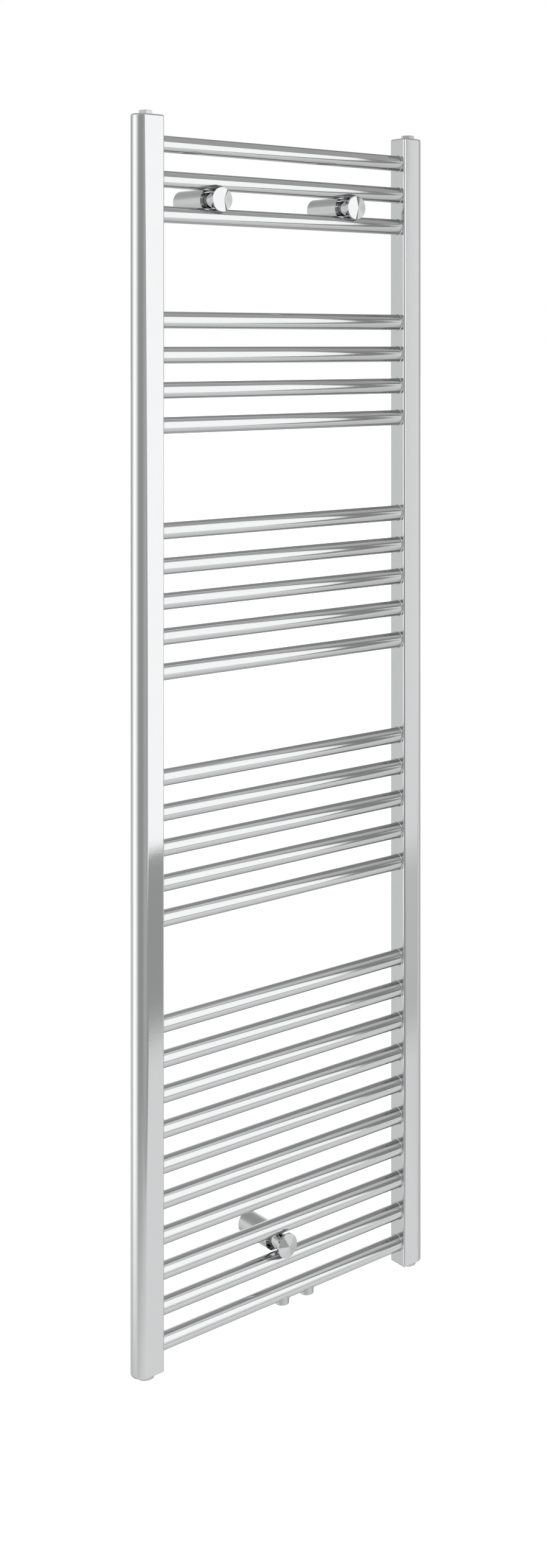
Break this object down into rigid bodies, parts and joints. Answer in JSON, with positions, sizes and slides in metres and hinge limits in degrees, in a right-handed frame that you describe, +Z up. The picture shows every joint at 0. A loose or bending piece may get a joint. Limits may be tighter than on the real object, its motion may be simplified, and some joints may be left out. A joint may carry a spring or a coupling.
{
  "type": "ladder towel radiator",
  "caption": "Wall-hung chrome ladder towel radiator with D-shaped collectors, grouped round rungs, air bleed valve, centre connection and clamp brackets.",
  "frame": {"origin": "on the wall plane, on the radiator's centre line, level with the lower ends of the collectors", "axes": "+X along the rungs to the right as seen from the room, +Y into the wall, +Z up"},
  "size_m": [0.495, 0.0929, 1.6062],
  "materials": {
    "collector_chrome": "polished",
    "rung_chrome": "polished",
    "fitting_chrome": "polished",
    "bracket_chrome": "polished",
    "base_steel": "zinc plated, satin",
    "screw_steel": "plain",
    "screw_brass": "turned",
    "seal_rubber": "matt",
    "pad_nylon": "matt"
  },
  "bodies": {
    "wall": {"wall_base_a": "base_steel", "wall_base_b": "base_steel", "wall_base_c": "base_steel"},
    "radiator": {"collector_left": "collector_chrome", "collector_right": "collector_chrome", "top_cap_left": "collector_chrome", "top_cap_right": "collector_chrome", "bottom_cap_left": "collector_chrome", "bottom_cap_right": "collector_chrome", "rung_01": "rung_chrome", "rung_02": "rung_chrome", "rung_03": "rung_chrome", "rung_04": "rung_chrome", "rung_05": "rung_chrome", "rung_06": "rung_chrome", "rung_07": "rung_chrome", "rung_08": "rung_chrome", "rung_09": "rung_chrome", "rung_10": "rung_chrome", "rung_11": "rung_chrome", "rung_12": "rung_chrome", "rung_13": "rung_chrome", "rung_14": "rung_chrome", "rung_15": "rung_chrome", "rung_16": "rung_chrome", "rung_17": "rung_chrome", "rung_18": "rung_chrome", "rung_19": "rung_chrome", "rung_20": "rung_chrome", "rung_21": "rung_chrome", "rung_22": "rung_chrome", "rung_23": "rung_chrome", "rung_24": "rung_chrome", "rung_25": "rung_chrome", "rung_26": "rung_chrome", "rung_27": "rung_chrome", "flow_socket": "fitting_chrome", "return_socket": "fitting_chrome", "bottom_plug_left": "fitting_chrome", "bottom_plug_right": "fitting_chrome", "vent_body": "fitting_chrome", "top_plug": "fitting_chrome", "sleeve_a": "bracket_chrome", "sleeve_b": "bracket_chrome", "sleeve_c": "bracket_chrome", "baffle": "base_steel", "grub_screws": "screw_steel", "top_orings": "seal_rubber", "bottom_orings": "seal_rubber"},
    "bleed_screw": {"bleed_screw": "screw_brass"},
    "bleed_seal": {"bleed_seal": "seal_rubber"},
    "clamp_cap_a": {"clamp_cap_a": "bracket_chrome"},
    "clamp_cap_b": {"clamp_cap_b": "bracket_chrome"},
    "clamp_cap_c": {"clamp_cap_c": "bracket_chrome"},
    "clamp_pad_a": {"clamp_pad_a": "pad_nylon"},
    "clamp_pad_b": {"clamp_pad_b": "pad_nylon"},
    "clamp_pad_c": {"clamp_pad_c": "pad_nylon"}
  },
  "joints": [
    {"name": "wall_distance", "type": "slide", "parent": "wall", "child": "radiator", "axis": [0, -1, 0], "range_m": [0, 0.012]},
    {"name": "clamp_pad_a_out", "type": "slide", "parent": "radiator", "child": "clamp_pad_a", "axis": [0, -1, 0], "range_m": [0, 0.005]},
    {"name": "clamp_cap_a_unscrew", "type": "hinge", "parent": "clamp_pad_a", "child": "clamp_cap_a", "pos_m": [-0.1165, -0.073, 1.4935], "axis": [0, -1, 0], "range_deg": [0, 1441]},
    {"name": "clamp_pad_b_out", "type": "slide", "parent": "radiator", "child": "clamp_pad_b", "axis": [0, -1, 0], "range_m": [0, 0.005]},
    {"name": "clamp_cap_b_unscrew", "type": "hinge", "parent": "clamp_pad_b", "child": "clamp_cap_b", "pos_m": [0.1165, -0.073, 1.4935], "axis": [0, -1, 0], "range_deg": [0, 1441]},
    {"name": "clamp_pad_c_out", "type": "slide", "parent": "radiator", "child": "clamp_pad_c", "axis": [0, -1, 0], "range_m": [0, 0.005]},
    {"name": "clamp_cap_c_unscrew", "type": "hinge", "parent": "clamp_pad_c", "child": "clamp_cap_c", "pos_m": [-0.0065, -0.073, 0.0985], "axis": [0, -1, 0], "range_deg": [0, 1441]},
    {"name": "bleed_seal_lift", "type": "slide", "parent": "radiator", "child": "bleed_seal", "axis": [0, 0, 1], "range_m": [0, 0.002]},
    {"name": "bleed_screw_turn", "type": "hinge", "parent": "bleed_seal", "child": "bleed_screw", "pos_m": [-0.2275, -0.073, 1.5965], "axis": [0, 0, 1], "range_deg": [0, 721]}
  ],
  "couplings": [
    {"joint": "clamp_cap_a_unscrew", "follows": "clamp_pad_a_out", "rad_per_m": 5026.5},
    {"joint": "clamp_cap_b_unscrew", "follows": "clamp_pad_b_out", "rad_per_m": 5026.5},
    {"joint": "clamp_cap_c_unscrew", "follows": "clamp_pad_c_out", "rad_per_m": 5026.5},
    {"joint": "bleed_screw_turn", "follows": "bleed_seal_lift", "rad_per_m": 6283.2}
  ]
}
